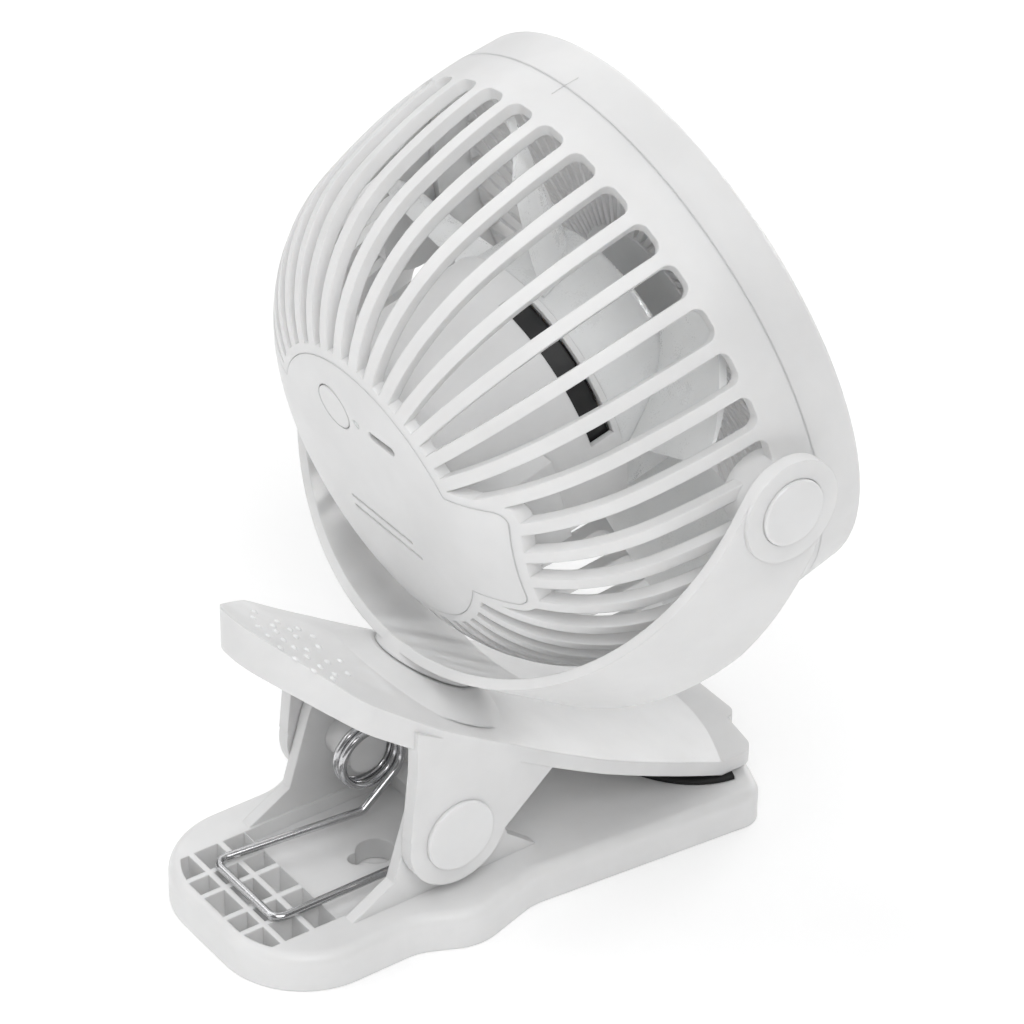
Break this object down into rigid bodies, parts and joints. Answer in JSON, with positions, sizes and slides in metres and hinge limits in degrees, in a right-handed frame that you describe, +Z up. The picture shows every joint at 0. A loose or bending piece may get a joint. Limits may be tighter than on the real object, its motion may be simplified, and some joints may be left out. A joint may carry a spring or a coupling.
{
  "type": "clip-on fan",
  "caption": "Small rechargeable fan: a slotted domed head tilts in a U-shaped yoke that swivels on a sprung clip, which also serves as its stand.",
  "frame": {"origin": "on the desk, at the flat underside of the lower jaw, straight below the clip's pivot", "axes": "+Z up, X along the clip's pivot and the head's tilt axis, +Y towards the clip's handle; air is blown towards -Y, 15 degrees above level"},
  "size_m": [0.15, 0.1393, 0.1883],
  "materials": {
    "white_abs": "satin, fine moulded grain",
    "black_rubber": "matte moulded rubber",
    "spring_steel": "bright nickel-plated wire",
    "screw_steel": "zinc-plated",
    "white_nylon": "matte",
    "cell_can": "printed sleeve",
    "nickel_strip": "rolled",
    "board_laminate": "solder resist",
    "lamp_lens": "clear, unlit",
    "black_switch": "satin",
    "core_steel": "stacked sheets",
    "bearing_bronze": "sintered",
    "frosted_abs": "translucent, satin"
  },
  "bodies": {
    "base": {"lower_jaw": "white_abs", "lower_pad": "black_rubber", "pivot_pins": "screw_steel", "torsion_spring": "spring_steel"},
    "upper_jaw": {"upper_jaw": "white_abs", "upper_pad": "black_rubber", "clip_cap_left": "white_abs", "clip_cap_right": "white_abs"},
    "yoke": {"yoke": "white_abs", "swivel_washer": "screw_steel", "swivel_screw": "screw_steel", "tilt_cap_left": "white_abs", "tilt_cap_right": "white_abs"},
    "head": {"rear_shell": "white_abs", "front_grille": "white_abs", "panel_cover": "white_abs", "battery_cell": "cell_can", "battery_contacts": "nickel_strip", "circuit_board": "board_laminate", "charging_socket": "screw_steel", "status_lamp": "lamp_lens", "button_switch": "black_switch", "motor_housing": "black_switch", "motor_stator": "core_steel", "motor_bearing": "bearing_bronze", "tilt_screws": "screw_steel", "tilt_washers": "white_nylon"},
    "rotor": {"impeller": "frosted_abs", "motor_shaft": "screw_steel"},
    "button": {"power_button": "white_abs"}
  },
  "joints": [
    {"name": "clip_hinge", "type": "hinge", "parent": "base", "child": "upper_jaw", "pos_m": [0, 0, 0.025], "axis": [-1, 0, 0], "range_deg": [0, 35], "stiffness_Nm_per_rad": 0.9, "springref_deg": -22.92, "deforming": ["torsion_spring"]},
    {"name": "yoke_swivel", "type": "hinge", "parent": "upper_jaw", "child": "yoke", "pos_m": [0, -0.0493, 0.1178], "axis": [0, -0.5299, 0.848], "continuous": true},
    {"name": "head_tilt", "type": "hinge", "parent": "yoke", "child": "head", "pos_m": [0, -0.0493, 0.1178], "axis": [1, 0, 0], "continuous": true},
    {"name": "fan_spin", "type": "hinge", "parent": "head", "child": "rotor", "pos_m": [0, -0.0493, 0.1178], "axis": [0, -0.9659, 0.2588], "continuous": true},
    {"name": "button_press", "type": "slide", "parent": "head", "child": "button", "axis": [0, -0.9659, 0.2588], "range_m": [0, 0.0005], "stiffness_N_per_m": 3000, "springref_m": -0.0001}
  ]
}
